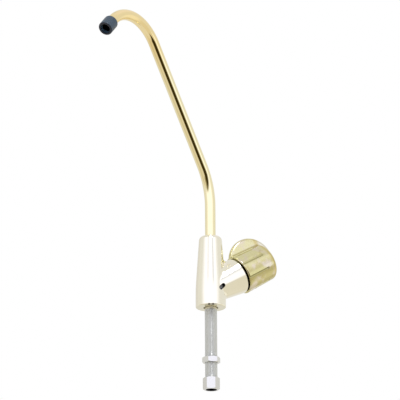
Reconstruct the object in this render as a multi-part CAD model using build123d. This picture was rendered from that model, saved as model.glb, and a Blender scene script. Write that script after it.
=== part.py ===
from build123d import *
import os
from math import cos, pi, radians, sin, tan

# Long reach drinking water tap: a cast Y body on a threaded stud, a swivelling hooked spout,
# and a quarter turn ceramic cartridge in the inclined branch, worked by a fluted knob with a fin.
# Millimetres. The origin is the centre of the body's base face, +Z is up along the stud and
# the lower spout, and the branch and knob rise towards +Y. The spout reaches away from them,
# swung a little towards +X at rest.

# Body casting, turned part
base_radius = 13.5
straight_height = 18.0      # the side is upright this far, then it narrows
knee_radius = 240.0         # the long curve between the upright and the narrowing side
top_radius = 10.1
body_height = 66.0
shoulder_radius = 3.8
foot_rounding = 1.0

# Body casting, branch
branch_angle = 30.5         # degrees above the horizon
branch_height = 17.0        # where the branch axis crosses the tap axis
branch_start_radius = 12.5
rim_radius = 16.5
rim_distance = 30.15        # along the branch axis, from the tap axis to the rim
rim_rounding = 0.5
crotch_rounding = 3.0

# Fits
running_clearance = 0.05    # radial, where one piece turns or slides in another
seal_clearance = 0.03       # between a squeezed seal and the piece that moves past it
end_clearance = 0.3         # along an axis, between pieces that move apart

# Spout
tube_radius = 4.7625
tube_wall = 0.9
socket_depth = 26.0
spout_swing = 29.0          # degrees from -Y towards +X, where the spout stands at rest
bend_height = 114.3         # where the upright and the slanting run would meet
bend_radius = 59.8
lean_angle = 37.1           # degrees from upright
slant_length = 119.6        # straight stretch between the two bends
hook_radius = 38.9
hook_angle = 100.9          # degrees turned by the hook
outlet_length = 11.9        # straight stretch after the hook
sleeve_radius = 6.45
sleeve_length = 12.5
sleeve_overhang = 3.0       # how far the sleeve passes the end of the tube
sleeve_rounding = 0.9
sleeve_mouth_radius = 4.6
sleeve_stop_thickness = 0.8     # the rim inside the sleeve that the tube's end meets

# Spout seals and snap ring, measured up from the foot of the tube
seal_groove_depth = 1.0
seal_groove_width = 2.2
lower_seal_at = 5.0
upper_seal_at = 17.0
clip_at = 11.2
clip_thickness = 1.0
clip_bite = 0.75            # how deep the snap ring sits in the tube
clip_reach = 0.7            # how far it stands into the groove of the body
clip_gap = 2.5

# Stud and its nuts
stud_radius = 5.55
stud_bore_radius = 2.6
stud_engagement = 9.0
stud_end = -69.0
stud_chamfer = 0.6
recess_radius = 6.6
recess_depth = 1.5
foot_seal_thickness = 1.1
mounting_nut_width = 14.3
mounting_nut_height = 5.2
mounting_nut_top = -45.2
mounting_nut_turn = -13.0   # degrees, where its flats happen to stand
gland_nut_width = 13.2
gland_nut_height = 10.8
gland_nut_top = -63.7
gland_nut_turn = -27.0
gland_cone_height = 1.8
tube_entry_radius = 3.35
entry_mouth_radius = 4.95
entry_mouth_depth = 2.4
supply_pocket_depth = 6.0
ferrule_wall = 0.9
nut_chamfer_angle = 30.0

# Water ways in the body
inlet_radius = 2.6
inlet_port_radius = 3.5
outlet_radius = 2.8
weep_length = 6.9
weep_width = 3.6
weep_tilt = 15.0            # degrees, its long way from the branch axis
weep_along = 4.6            # along the branch axis
weep_below = 2.4            # below the branch axis
weep_floor = 10.4           # distance of its floor from the plane of symmetry
weep_drill_radius = 0.9
weep_drill_side = 11.5

# Cartridge pocket, distances along the branch axis from the tap axis
seat_at = 2.0
pocket_radius = 9.2
pocket_top = 17.0
thread_radius = 10.2
flange_at = 24.0
counterbore_radius = 13.0

# Cartridge
barrel_skirt_radius = 8.2
barrel_land_radius = pocket_radius - running_clearance
barrel_bore_radius = 7.1
barrel_foot_gap = 1.0       # the seat seal stands out of the barrel by this
barrel_land_at = 13.4
barrel_hex_width = 20.0
barrel_mouth = 28.5
barrel_seal_at = 14.6
barrel_seal_width = 1.7
barrel_seal_depth = 1.25
window_at = 9.2
window_height = 3.0
window_width = 5.0
seat_seal_radius = 4.2
seat_seal_height = 2.4
disc_height = 3.0
disc_gap = 0.1              # between a disc or foot and the bore around it
disc_port_inner = 2.0
disc_port_outer = 5.6
disc_port_angle = 76.0
lug_width = 2.4
spindle_foot_height = 2.8
spindle_bar_width = 5.0
spindle_bar_height = 1.8
tongue_width = 2.6
tongue_height = 1.1
washer_thickness = 0.6
stem_radius = 5.4
stem_seal_lower = 16.6
stem_seal_upper = 20.8
stem_seal_width = 1.8
stem_seal_depth = 1.1
stem_top = 29.6
stem_clip_thickness = 0.6
stem_clip_radius = 6.5
stem_clip_bite = 0.8
spline_radius = 4.0
spline_depth = 0.4
spline_count = 18
spline_end = 44.0

# Knob, fin and what holds them
gap_ring_thickness = 1.5
gap_ring_radius = 15.9
gap_ring_wall = 1.2
gap_ring_spigot = 1.2
knob_gap = 0.2              # between the ring and the knob
knob_radius = 17.9
knob_length = 36.0
knob_taper = 1.6            # degrees
knob_dome = 6.4             # height of the rounded end
knob_base_rounding = 1.2
knob_wall = 3.0
knob_end_wall = 5.0
flute_count = 8
flute_radius = 1.2
flute_depth = 0.8
flute_length = 23.0         # from the knob's base to where the groove runs out
fin_radius = 21.9
fin_thickness = 6.0
fin_rounding = 2.6
fin_along = 18.1            # centre of the fin, from the knob's base
fin_above = 5.6             # and above the branch axis
fin_rim_clearance = 0.6
hub_radius = 7.2
spline_clearance = 0.05
grub_screw_radius = 2.0
grub_screw_length = 5.0
grub_screw_at = 8.5         # from the knob's base
grub_socket_width = 2.0
grub_socket_depth = 2.2
grub_access_clearance = 0.4

# Sizes that follow from the ones above
swing = radians(spout_swing)
lean = radians(lean_angle)
socket_floor = body_height - socket_depth
socket_radius = tube_radius + running_clearance
tube_foot = socket_floor + end_clearance
tube_bore_radius = tube_radius - tube_wall
knob_base = rim_distance + gap_ring_thickness + knob_gap
knob_end = knob_base + knob_length
dome_foot = knob_end - knob_dome
barrel_foot = seat_at + barrel_foot_gap
stator_at = seat_at + seat_seal_height
rotor_at = stator_at + disc_height
spindle_at = rotor_at + disc_height
spindle_flange_top = spindle_at + spindle_foot_height
barrel_step = spindle_flange_top + washer_thickness + 2 * running_clearance
disc_radius = barrel_bore_radius - disc_gap
hub_foot = stem_top + end_clearance
nut_bore_radius = stud_radius + running_clearance
stem_bore_radius = stem_radius + running_clearance
stem_clip_at = barrel_mouth + running_clearance

branch_up = radians(branch_angle)
branch = Plane(origin=(0, 0, branch_height), x_dir=(-1, 0, 0), z_dir=(0, cos(branch_up), sin(branch_up)))


def turned(*outline):
    """A solid turned about Z from its half section, given as radius and height pairs."""
    return revolve(make_face(Polyline(*[(r, 0, z) for r, z in outline], close=True)), Axis.Z)


def ring(inner, outer, bottom, top):
    """A plain turned ring."""
    return turned((inner, bottom), (outer, bottom), (outer, top), (inner, top))


def rod(radius, bottom, top):
    """A plain round bar on Z."""
    return Pos(0, 0, bottom) * Cylinder(radius, top - bottom, align=(Align.CENTER, Align.CENTER, Align.MIN))


def seal_ring(inner, outer, bottom, top):
    """A squeezed rubber ring: a rounded section turned about Z."""
    width, height = outer - inner, top - bottom
    section = RectangleRounded(width, height, 0.42 * min(width, height))
    return revolve(Plane.XZ * Pos((inner + outer) / 2, (bottom + top) / 2) * section, Axis.Z)


def hexagon(width, bottom, top):
    """A hexagonal bar, measured across its flats, with two flats facing -X and +X."""
    shape = RegularPolygon(width / 2, 6, major_radius=False, rotation=30)
    return Pos(0, 0, bottom) * extrude(shape, amount=top - bottom)


def chamfered_hexagon(width, bottom, top, both_ends=True):
    """A hexagonal bar whose corners are turned down at its ends."""
    corner = width / 2 / cos(radians(30))
    flat = 0.97 * width / 2
    drop = (corner - flat) * tan(radians(nut_chamfer_angle))
    lower = (flat, bottom) if both_ends else (corner, bottom)
    lower_side = (corner, bottom + drop) if both_ends else (corner, bottom + drop / 2)
    blank = turned((0, bottom), lower, lower_side, (corner, top - drop), (flat, top), (0, top))
    return hexagon(width, bottom, top) & blank


def split_ring(inner, outer, bottom, top, gap):
    """A flat snap ring with its gap on +Y."""
    slot = Pos(0, outer, (bottom + top) / 2) * Box(gap, outer, 2 * (top - bottom))
    return ring(inner, outer, bottom, top) - slot


def splined(radius, bottom, top):
    """A toothed bar on Z: straight flanks between the tip circle and the root circle."""
    tips = []
    for tooth in range(spline_count):
        for share, depth in ((-0.3, 0), (0.3, 0), (0.5, spline_depth)):
            turn = 2 * pi * (tooth + share) / spline_count
            tips.append(((radius - depth) * cos(turn), (radius - depth) * sin(turn)))
    return Pos(0, 0, bottom) * extrude(make_face(Polyline(*tips, close=True)), amount=top - bottom)


def column():
    """The upright part of the casting, turned."""
    outline = Polyline((0, 0), (base_radius, 0), (base_radius, straight_height), (top_radius, body_height),
                       (0, body_height), close=True)
    face = make_face(outline)
    knee = face.vertices().sort_by_distance((base_radius, straight_height))[0]
    face = fillet(knee, knee_radius)
    shoulder = face.vertices().sort_by_distance((top_radius, body_height))[0]
    face = fillet(shoulder, shoulder_radius)
    return revolve(Plane.XZ * face, Axis.Z)


def branch_cone():
    """The inclined branch, which widens towards its rim."""
    return branch * turned((0, 0), (branch_start_radius, 0), (rim_radius, rim_distance), (0, rim_distance))


def cartridge_pocket():
    """What is bored out of the branch: sealed pocket, thread and wide counterbore."""
    return branch * turned((0, seat_at), (pocket_radius, seat_at), (pocket_radius, pocket_top),
                           (thread_radius, pocket_top), (thread_radius, flange_at),
                           (counterbore_radius, flange_at), (counterbore_radius, rim_distance + 1),
                           (0, rim_distance + 1))


def weep_hole():
    """The oval drain in the crotch on +X, and the drilling that leads to it from the counterbore."""
    depth = base_radius
    oval = extrude(SlotOverall(weep_length, weep_width, rotation=weep_tilt), amount=depth)
    across = Plane(origin=(-weep_floor, -weep_below, weep_along), x_dir=(0, 0, 1), z_dir=(-1, 0, 0))
    drill = Pos(-weep_drill_side, -weep_below, 0) * rod(weep_drill_radius, weep_along, flange_at + 1)
    return branch * (across * oval + drill)


def spout_socket():
    """The bore that the spout turns in, with the groove of its snap ring."""
    clip_floor = tube_foot + clip_at - clip_thickness / 2
    groove_top = clip_floor + clip_thickness + 2 * running_clearance
    groove = rod(tube_radius + clip_reach + running_clearance, clip_floor - 2 * running_clearance, groove_top)
    lead_in = turned((0, body_height - 0.5), (socket_radius, body_height - 0.5),
                     (socket_radius + 0.6, body_height + 0.1), (0, body_height + 0.1))
    return rod(socket_radius, socket_floor, body_height + 1) + groove + lead_in


def body():
    """The cast and bored Y body."""
    upright = column()
    arm = branch_cone()
    casting = upright + arm
    seam = [e for e in casting.edges() if e.geom_type not in (GeomType.CIRCLE, GeomType.LINE)]
    casting = fillet(seam, crotch_rounding)
    foot = casting.edges().filter_by(GeomType.CIRCLE).sort_by(Axis.Z)[0]
    casting = fillet(foot, foot_rounding)
    rim_centre = branch.from_local_coords((0, 0, rim_distance))
    rim = [e for e in casting.edges().filter_by(GeomType.CIRCLE) if (e.arc_center - rim_centre).length < 0.01]
    casting = fillet(rim, rim_rounding)
    casting -= cartridge_pocket()
    casting -= spout_socket()
    casting -= rod(stud_radius, -1, stud_engagement)
    casting -= rod(recess_radius, -1, recess_depth)
    casting -= rod(inlet_radius, stud_engagement - 1, branch_height)
    casting -= branch * rod(inlet_port_radius, -inlet_radius, seat_at + 1)
    casting -= rod(outlet_radius, branch_height + pocket_radius, socket_floor + 1)
    casting -= weep_hole()
    return casting


def spout_corner(forward, up):
    """A point of the spout's centreline, forward of the tap axis and above the base."""
    return (forward * sin(swing), -forward * cos(swing), up)


def spout_path():
    """Upright, long bend, slanting run, hook and outlet, as one tangent path."""
    turn = radians(lean_angle + hook_angle)
    run = bend_radius * tan(lean / 2) + slant_length + hook_radius * tan(radians(hook_angle) / 2)
    corner_forward = run * sin(lean)
    corner_up = bend_height + run * cos(lean)
    last = hook_radius * tan(radians(hook_angle) / 2) + outlet_length
    return FilletPolyline(
        spout_corner(0, tube_foot), spout_corner(0, bend_height), spout_corner(corner_forward, corner_up),
        spout_corner(corner_forward + last * sin(turn), corner_up + last * cos(turn)),
        radius=[bend_radius, hook_radius])


def outlet_plane():
    """A plane at the end of the tube, whose Z axis points the way the water leaves."""
    path = spout_path()
    return Plane(origin=path @ 1, x_dir=(cos(swing), sin(swing), 0), z_dir=path % 1)


def along_spout(radius):
    """A round bar that follows the spout's centreline from end to end."""
    path = spout_path()
    start = Plane(origin=path @ 0, z_dir=path % 0)
    return sweep(start * Circle(radius), path=path)


def spout_tube():
    """The bent tube, with its grooves rolled in near the foot, so that the bore narrows there too."""
    outside = along_spout(tube_radius)
    bore = along_spout(tube_bore_radius)
    for at, width, depth in ((lower_seal_at, seal_groove_width, seal_groove_depth),
                             (upper_seal_at, seal_groove_width, seal_groove_depth),
                             (clip_at, clip_thickness, clip_bite)):
        middle = tube_foot + at
        half = width / 2
        outside -= ring(tube_radius - depth, tube_radius + 1, middle - half, middle + half)
        bore -= ring(tube_bore_radius - depth, tube_bore_radius + 1, middle - half - tube_wall / 2,
                     middle + half + tube_wall / 2)
    return outside - bore


def spout_sleeve():
    """The plastic sleeve pushed over the end of the tube, with a stop rim inside that covers the tube's edge."""
    sleeve = rod(sleeve_radius, sleeve_overhang - sleeve_length, sleeve_overhang)
    sleeve = fillet(sleeve.edges().filter_by(GeomType.CIRCLE), sleeve_rounding)
    sleeve -= rod(tube_radius, sleeve_overhang - sleeve_length - 1, 0)
    sleeve -= rod(tube_bore_radius, -1, sleeve_overhang)
    sleeve -= rod(sleeve_mouth_radius, sleeve_stop_thickness, sleeve_overhang + 1)
    return outlet_plane() * sleeve


def spout_seal(at):
    """An O-ring in its rolled groove, squeezed against the socket."""
    middle = tube_foot + at
    half = seal_groove_width / 2 - 0.15
    return seal_ring(tube_radius - seal_groove_depth, socket_radius - seal_clearance, middle - half, middle + half)


def spout_clip():
    """The split snap ring that keeps the spout in its socket."""
    bottom = tube_foot + clip_at - clip_thickness / 2 + running_clearance
    top = bottom + clip_thickness - 2 * running_clearance
    return split_ring(tube_radius - clip_bite, tube_radius + clip_reach, bottom, top, clip_gap)


def stud():
    """The hollow threaded stud: it screws into the base and takes the supply tube at its foot."""
    top = stud_engagement
    pocket = stud_end + supply_pocket_depth
    mouth = stud_end + (stud_radius - stud_chamfer - tube_entry_radius) / 2
    return turned((stud_bore_radius, top), (stud_radius - stud_chamfer, top), (stud_radius, top - stud_chamfer),
                  (stud_radius, stud_end + stud_chamfer), (stud_radius - stud_chamfer, stud_end),
                  ((stud_radius - stud_chamfer + tube_entry_radius) / 2, stud_end), (tube_entry_radius, mouth),
                  (tube_entry_radius, pocket), (stud_bore_radius, pocket))


def foot_seal():
    """The rubber ring round the stud in the recess of the base."""
    return seal_ring(stud_radius, recess_radius, recess_depth - foot_seal_thickness, recess_depth)


def mounting_nut():
    """The hexagon nut that clamps the tap to a worktop."""
    bottom = mounting_nut_top - mounting_nut_height
    lead = 0.5
    bore = turned((0, bottom - 1), (nut_bore_radius + lead + 1, bottom - 1), (nut_bore_radius, bottom + lead),
                  (nut_bore_radius, mounting_nut_top - lead), (nut_bore_radius + lead + 1, mounting_nut_top + 1),
                  (0, mounting_nut_top + 1))
    return Rot(0, 0, mounting_nut_turn) * (chamfered_hexagon(mounting_nut_width, bottom, mounting_nut_top) - bore)


def gland_nut():
    """The compression nut on the stud's foot, coned inside to press the ferrule."""
    bottom = gland_nut_top - gland_nut_height
    cone_top = stud_end - end_clearance
    cone_foot = cone_top - gland_cone_height
    bore = turned((0, gland_nut_top + 1), (nut_bore_radius, gland_nut_top + 1), (nut_bore_radius, cone_top),
                  (tube_entry_radius, cone_foot), (tube_entry_radius, bottom + entry_mouth_depth),
                  (entry_mouth_radius, bottom + entry_mouth_depth), (entry_mouth_radius, bottom - 1),
                  (0, bottom - 1))
    return Rot(0, 0, gland_nut_turn) * (chamfered_hexagon(gland_nut_width, bottom, gland_nut_top) - bore)


def ferrule():
    """The brass sleeve that the compression nut squeezes on the supply tube."""
    top = stud_end - running_clearance
    cone_slope = (nut_bore_radius - tube_entry_radius) / gland_cone_height
    outer = tube_entry_radius + ferrule_wall
    seat = stud_end - end_clearance - (nut_bore_radius - outer) / cone_slope
    foot = seat - ferrule_wall / 2 / cone_slope
    corner = ferrule_wall / 3
    return turned((tube_entry_radius, top), (outer - corner, top), (outer, top - corner),
                  (outer, seat + running_clearance), (outer - ferrule_wall / 2, foot + running_clearance),
                  (tube_entry_radius, foot + running_clearance))


def seat_seal():
    """The rubber ring under the fixed disc, round the inlet port."""
    return branch * seal_ring(seat_seal_radius, barrel_bore_radius - running_clearance, seat_at, stator_at)


def ports(bottom, top, towards):
    """Two opposite sector ports through a ceramic disc."""
    section = make_face(Polyline((disc_port_inner, 0, bottom), (disc_port_outer, 0, bottom),
                                 (disc_port_outer, 0, top), (disc_port_inner, 0, top), close=True))
    one = Rot(0, 0, towards - disc_port_angle / 2) * revolve(section, Axis.Z, disc_port_angle)
    return one + Rot(0, 0, 180) * one


def stator_disc():
    """The fixed ceramic disc, kept from turning by two lugs in the barrel's slots."""
    disc = rod(disc_radius, stator_at, rotor_at) - ports(stator_at - 1, rotor_at + 1, 90)
    lug_reach = 2 * (barrel_skirt_radius - disc_gap)
    lugs = Pos(0, 0, stator_at + disc_height / 2) * Box(lug_reach, lug_width, disc_height)
    return branch * (disc + (lugs - rod(disc_port_outer, stator_at - 1, rotor_at + 1)))


def rotor_disc():
    """The turning ceramic disc, slotted on top for the spindle's tongue. At rest its ports are closed."""
    disc = rod(disc_radius, rotor_at, spindle_at) - ports(rotor_at - 1, spindle_at + 1, 0)
    slot = Pos(0, 0, spindle_at) * Box(tongue_width + 2 * running_clearance, 2 * barrel_skirt_radius,
                                       2 * (tongue_height + running_clearance))
    return branch * (disc - slot)


def cartridge_barrel():
    """The brass housing that screws into the branch and holds the discs and the spindle."""
    flange_corner = barrel_hex_width / 2 / cos(radians(30))
    outside = turned((0, barrel_foot), (barrel_skirt_radius, barrel_foot), (barrel_skirt_radius, barrel_land_at),
                     (barrel_land_radius, barrel_land_at), (barrel_land_radius, pocket_top),
                     (thread_radius, pocket_top), (thread_radius, flange_at), (0, flange_at))
    outside += chamfered_hexagon(barrel_hex_width, flange_at, barrel_mouth, both_ends=False)
    outside -= ring(barrel_land_radius - barrel_seal_depth, flange_corner, barrel_seal_at,
                    barrel_seal_at + barrel_seal_width)
    inside = rod(barrel_bore_radius, barrel_foot - 1, barrel_step)
    inside += rod(stem_bore_radius, barrel_step - 1, barrel_mouth + 1)
    window = Pos(0, 0, window_at + window_height / 2) * Box(3 * barrel_skirt_radius, window_width, window_height)
    windows = window + Rot(0, 0, 90) * window
    slot_top = rotor_at + running_clearance
    slots = Pos(0, 0, slot_top - 2 * disc_height) * Box(3 * barrel_skirt_radius, lug_width + 2 * running_clearance,
                                                        4 * disc_height)
    return branch * (outside - inside - windows - slots)


def barrel_seal():
    """The O-ring that seals the barrel in its pocket."""
    return branch * seal_ring(barrel_land_radius - barrel_seal_depth, pocket_radius - seal_clearance,
                              barrel_seal_at + running_clearance,
                              barrel_seal_at + barrel_seal_width - running_clearance)


def thrust_washer():
    """The slippery washer between the spindle's flange and the barrel's step."""
    bottom = spindle_flange_top + running_clearance
    return branch * ring(stem_radius + disc_gap, barrel_bore_radius - disc_gap, bottom, bottom + washer_thickness)


def spindle():
    """The turning stem: tongue, cross bar and flange at its foot, seal and clip grooves, splined end."""
    bar_top = spindle_at + spindle_bar_height
    flange = rod(disc_radius, bar_top, spindle_flange_top)
    bar = Pos(0, 0, spindle_at + spindle_bar_height / 2) * Box(spindle_bar_width, 2 * disc_radius,
                                                               spindle_bar_height)
    tongue = Pos(0, 0, spindle_at - tongue_height / 2) * Box(tongue_width, 2 * disc_radius, tongue_height)
    foot = flange + ((bar + tongue) & rod(disc_radius, spindle_at - tongue_height, bar_top))
    stem = rod(stem_radius, spindle_flange_top, stem_top)
    for at in (stem_seal_lower, stem_seal_upper):
        stem -= ring(stem_radius - stem_seal_depth, stem_radius + 1, at, at + stem_seal_width)
    stem -= ring(stem_radius - stem_clip_bite, stem_radius + 1, stem_clip_at,
                 stem_clip_at + stem_clip_thickness + running_clearance)
    teeth = splined(spline_radius, stem_top, spline_end)
    teeth &= turned((0, stem_top), (spline_radius + 1, stem_top), (spline_radius + 1, spline_end - spline_depth - 1),
                    (spline_radius - spline_depth, spline_end), (0, spline_end))
    return branch * (foot + stem + teeth)


def stem_seal(at):
    """An O-ring on the spindle's stem."""
    return branch * seal_ring(stem_radius - stem_seal_depth, stem_bore_radius - seal_clearance,
                              at + running_clearance, at + stem_seal_width - running_clearance)


def spindle_clip():
    """The snap ring that keeps the spindle in the barrel."""
    return branch * split_ring(stem_radius - stem_clip_bite, stem_clip_radius, stem_clip_at,
                               stem_clip_at + stem_clip_thickness, clip_gap)


def gap_ring():
    """The black ring that lies on the branch's rim, with a spigot in the counterbore."""
    inner = counterbore_radius - gap_ring_wall
    plate = ring(inner, gap_ring_radius, rim_distance, rim_distance + gap_ring_thickness)
    return branch * (plate + ring(inner, counterbore_radius, rim_distance - gap_ring_spigot, rim_distance))


def knob_side(along):
    """The knob's radius at a distance along the branch axis."""
    return knob_radius - (along - knob_base) * tan(radians(knob_taper))


def knob_outside():
    """The tapered and domed outside of the knob, without flutes or fin."""
    dome_radius = knob_side(dome_foot)
    outline = Polyline((0, knob_end), (0, knob_base), (knob_radius, knob_base), (dome_radius, dome_foot))
    outline += EllipticalCenterArc((0, dome_foot), dome_radius, knob_dome, arc_size=90)
    face = make_face(outline)
    face = fillet(face.vertices().sort_by_distance((knob_radius, knob_base))[0], knob_base_rounding)
    return revolve(Plane.XZ * face, Axis.Z)


def flutes():
    """Narrow round grooves down the side of the knob. Each runs out in a cone before the dome."""
    middle = knob_side(knob_base) + flute_radius - flute_depth
    groove = turned((0, -2 * flute_radius), (flute_radius, -2 * flute_radius), (flute_radius, flute_length),
                    (0, flute_length + flute_radius))
    cutter = Pos(middle, 0, knob_base) * Rot(0, -knob_taper, 0) * groove
    step = 360 / flute_count
    return [Rot(0, 0, step * (turn + 0.5) + 90) * cutter for turn in range(flute_count)]


def fin():
    """The round plate that stands across the knob, in its plane of symmetry."""
    plate = Rot(0, 90, 0) * Cylinder(fin_radius, fin_thickness)
    plate = fillet(plate.edges().filter_by(GeomType.CIRCLE), fin_rounding)
    return Pos(0, fin_above, knob_base + fin_along) * plate


def knob():
    """The cast knob: fluted shell with its fin, and inside it the hub that sits on the spindle's splines."""
    shell = knob_outside()
    for cutter in flutes():
        shell -= cutter
    shell += fin()
    shell -= rod(rim_radius + fin_rim_clearance, knob_base - 2 * fin_radius, knob_base)
    ceiling = knob_end - knob_end_wall
    shell -= turned((0, knob_base - 1), (knob_side(knob_base) - knob_wall, knob_base - 1),
                    (knob_side(ceiling) - knob_wall, ceiling), (0, ceiling))
    shell += rod(hub_radius, hub_foot, ceiling + knob_end_wall / 2)
    grub_axis = Pos(0, 0, knob_base + grub_screw_at) * Rot(90, 0, 0)
    shell -= splined(spline_radius + spline_clearance, hub_foot - 1, spline_end + end_clearance)
    shell -= grub_axis * rod(grub_screw_radius, 0, hub_radius + 1)
    shell -= grub_axis * rod(grub_screw_radius + grub_access_clearance, hub_radius + 1, 2 * knob_radius)
    return branch * shell


def grub_screw():
    """The socket set screw that holds the knob on the splines, from below."""
    tip = spline_radius + running_clearance
    head = tip + grub_screw_length
    screw = turned((0, tip), (grub_screw_radius - 0.5, tip), (grub_screw_radius, tip + 0.5),
                   (grub_screw_radius, head), (0, head))
    screw -= hexagon(grub_socket_width, head - grub_socket_depth, head + 1)
    return branch * (Pos(0, 0, knob_base + grub_screw_at) * Rot(90, 0, 0) * screw)


parts = {
    "body": body(),
    "stud": stud(),
    "foot_seal": foot_seal(),
    "mounting_nut": mounting_nut(),
    "compression_nut": gland_nut(),
    "ferrule": ferrule(),
    "spout_tube": spout_tube(),
    "spout_tip": spout_sleeve(),
    "spout_seal_lower": spout_seal(lower_seal_at),
    "spout_seal_upper": spout_seal(upper_seal_at),
    "spout_clip": spout_clip(),
    "seat_seal": seat_seal(),
    "stator_disc": stator_disc(),
    "rotor_disc": rotor_disc(),
    "cartridge_barrel": cartridge_barrel(),
    "barrel_seal": barrel_seal(),
    "thrust_washer": thrust_washer(),
    "spindle": spindle(),
    "spindle_seal_inner": stem_seal(stem_seal_lower),
    "spindle_seal_outer": stem_seal(stem_seal_upper),
    "spindle_clip": spindle_clip(),
    "gap_ring": gap_ring(),
    "knob": knob(),
    "grub_screw": grub_screw(),
}

if __name__ == "__main__":
    os.makedirs("parts", exist_ok=True)
    for name, solid in parts.items():
        solid.label = name
        export_step(solid, f"parts/{name}.step")
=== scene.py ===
import bpy
import math
import numpy as np
from mathutils import Matrix, Vector


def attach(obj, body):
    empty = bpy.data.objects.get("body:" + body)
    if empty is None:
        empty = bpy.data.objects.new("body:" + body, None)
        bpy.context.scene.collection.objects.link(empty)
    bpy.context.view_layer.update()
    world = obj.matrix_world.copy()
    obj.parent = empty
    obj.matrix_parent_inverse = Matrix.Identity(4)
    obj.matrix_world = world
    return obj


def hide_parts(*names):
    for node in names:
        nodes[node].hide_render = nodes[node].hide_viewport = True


# Drinking water tap: a plated Y body on a threaded stud, a gold hooked spout with a black tip,
# and a yellow brass knob with a fin. Sizes are in millimetres until they go into a mesh.

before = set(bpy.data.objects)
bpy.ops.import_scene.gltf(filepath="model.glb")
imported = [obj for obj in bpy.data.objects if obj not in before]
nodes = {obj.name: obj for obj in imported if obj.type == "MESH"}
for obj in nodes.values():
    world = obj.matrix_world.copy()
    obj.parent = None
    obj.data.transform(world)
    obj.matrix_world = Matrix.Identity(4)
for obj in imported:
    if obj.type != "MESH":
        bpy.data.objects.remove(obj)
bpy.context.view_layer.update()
print("frame loaded with", len(nodes), "nodes")

mm = 0.001  # one millimetre in metres

camera = {
    "azimuth": 65.0,             # degrees, round the object
    "elevation": -17.8,          # the photo looks up at the tap
    "roll": -0.29,
    "depth": 2000.0,             # from the lens to the centre of the base
    "mmPerPixel": 0.89,          # at that depth
    "basePixel": (210.86, 307.93),   # where the centre of the base is in the photo
    "photoSize": 400,            # pixels, wide and high
    "sensor": 36.0,              # its width
    "sight": 400.0,              # metres, past the corners of the floor
}


def wayTo(azimuth, elevation):
    """The direction of two angles in degrees. Azimuth 0 is along -Y and 90 along +X."""
    a, e = math.radians(azimuth), math.radians(elevation)
    return Vector((math.sin(a) * math.cos(e), -math.cos(a) * math.cos(e), math.sin(e)))


def cameraAxes():
    """Right, up and back of the camera: back is the way to it, level is square to that on the ground, and
    the roll turns right and up about back."""
    a = math.radians(camera["azimuth"])
    r = math.radians(camera["roll"])
    back = wayTo(camera["azimuth"], camera["elevation"])
    level = Vector((math.cos(a), math.sin(a), 0))
    up = back.cross(level)
    return level * math.cos(r) + up * math.sin(r), up * math.cos(r) - level * math.sin(r), back


def makeCamera():
    """The lens is to the sensor as depth is to what the photo spans. The camera stands depth back from the
    centre of the base, moved aside until that centre is on its own pixel."""
    right, up, back = cameraAxes()
    half = camera["photoSize"] / 2
    u = (camera["basePixel"][0] - half) * camera["mmPerPixel"]
    v = (half - camera["basePixel"][1]) * camera["mmPerPixel"]
    lens = bpy.data.cameras.new("photoLens")
    lens.sensor_width = camera["sensor"]
    lens.lens = camera["depth"] / camera["mmPerPixel"] / camera["photoSize"] * camera["sensor"]
    lens.clip_end = camera["sight"]
    rig = bpy.data.objects.new("photoCamera", lens)
    bpy.context.scene.collection.objects.link(rig)
    place = (back * camera["depth"] - right * u - up * v) * mm
    rig.matrix_world = Matrix.Translation(place) @ Matrix((right, up, back)).transposed().to_4x4()
    bpy.context.scene.camera = rig


makeCamera()
print("camera placed")


# Node helpers

def addNode(tree, kind, **inputs):
    """A new node with values set by socket name."""
    made = tree.nodes.new(kind)
    for label, value in inputs.items():
        made.inputs[label].default_value = value
    return made


def feed(tree, source, node, socket):
    """A link where source is a socket, or a plain value where it is a number or colour."""
    if isinstance(source, bpy.types.NodeSocket):
        tree.links.new(source, node.inputs[socket])
    else:
        node.inputs[socket].default_value = source


def sums(tree, operation, a, b=0.0, c=0.0):
    """One Math node."""
    made = tree.nodes.new("ShaderNodeMath")
    made.operation = operation
    for socket, value in enumerate((a, b, c)):
        feed(tree, value, made, socket)
    return made.outputs[0]


def ease(tree, value, low, high, start=0.0, end=1.0):
    """A smooth step of value from low to high, put out as start to end."""
    made = tree.nodes.new("ShaderNodeMapRange")
    made.interpolation_type = "SMOOTHSTEP"
    for socket, number in enumerate((value, low, high, start, end)):
        feed(tree, number, made, socket)
    return made.outputs[0]


def band(tree, value, low, high, soft):
    """1 between low and high, and 0 outside, with edges that take 2 * soft."""
    rise = ease(tree, value, low - soft, low + soft)
    fall = ease(tree, value, high - soft, high + soft, 1.0, 0.0)
    return sums(tree, "MULTIPLY", rise, fall)


def blendColours(tree, share, under, over):
    """One Mix node: under where share is 0, over where it is 1."""
    made = tree.nodes.new("ShaderNodeMix")
    made.data_type = "RGBA"
    feed(tree, share, made, 0)
    feed(tree, under, made, 6)
    feed(tree, over, made, 7)
    return made.outputs[2]


def vectorSums(tree, operation, a, b=(0, 0, 0)):
    """One Vector Math node. Put out: its vector for sums, its value for lengths and products."""
    made = tree.nodes.new("ShaderNodeVectorMath")
    made.operation = operation
    feed(tree, a, made, 0)
    feed(tree, b, made, 1)
    return made.outputs["Value" if operation in ("DOT_PRODUCT", "LENGTH") else "Vector"]


def dotWith(tree, vector, way):
    """How far a vector reaches along way, times the length of way."""
    return vectorSums(tree, "DOT_PRODUCT", vector, way)


# Studio: a white tent with a bright front, seen in the plating, on a plain white ground

studio = {
    "tent": (0.84, 0.83, 0.8, 1),      # what the plating mirrors where no patch lies
    "ground": (1, 1, 1, 1),            # what the camera sees behind the tap
    "paper": (0.95, 0.95, 0.94, 1),
    "paperRoughness": 0.9,
    "floorHeight": -1.9,               # metres
    "floorSize": 300.0,
}

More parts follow.
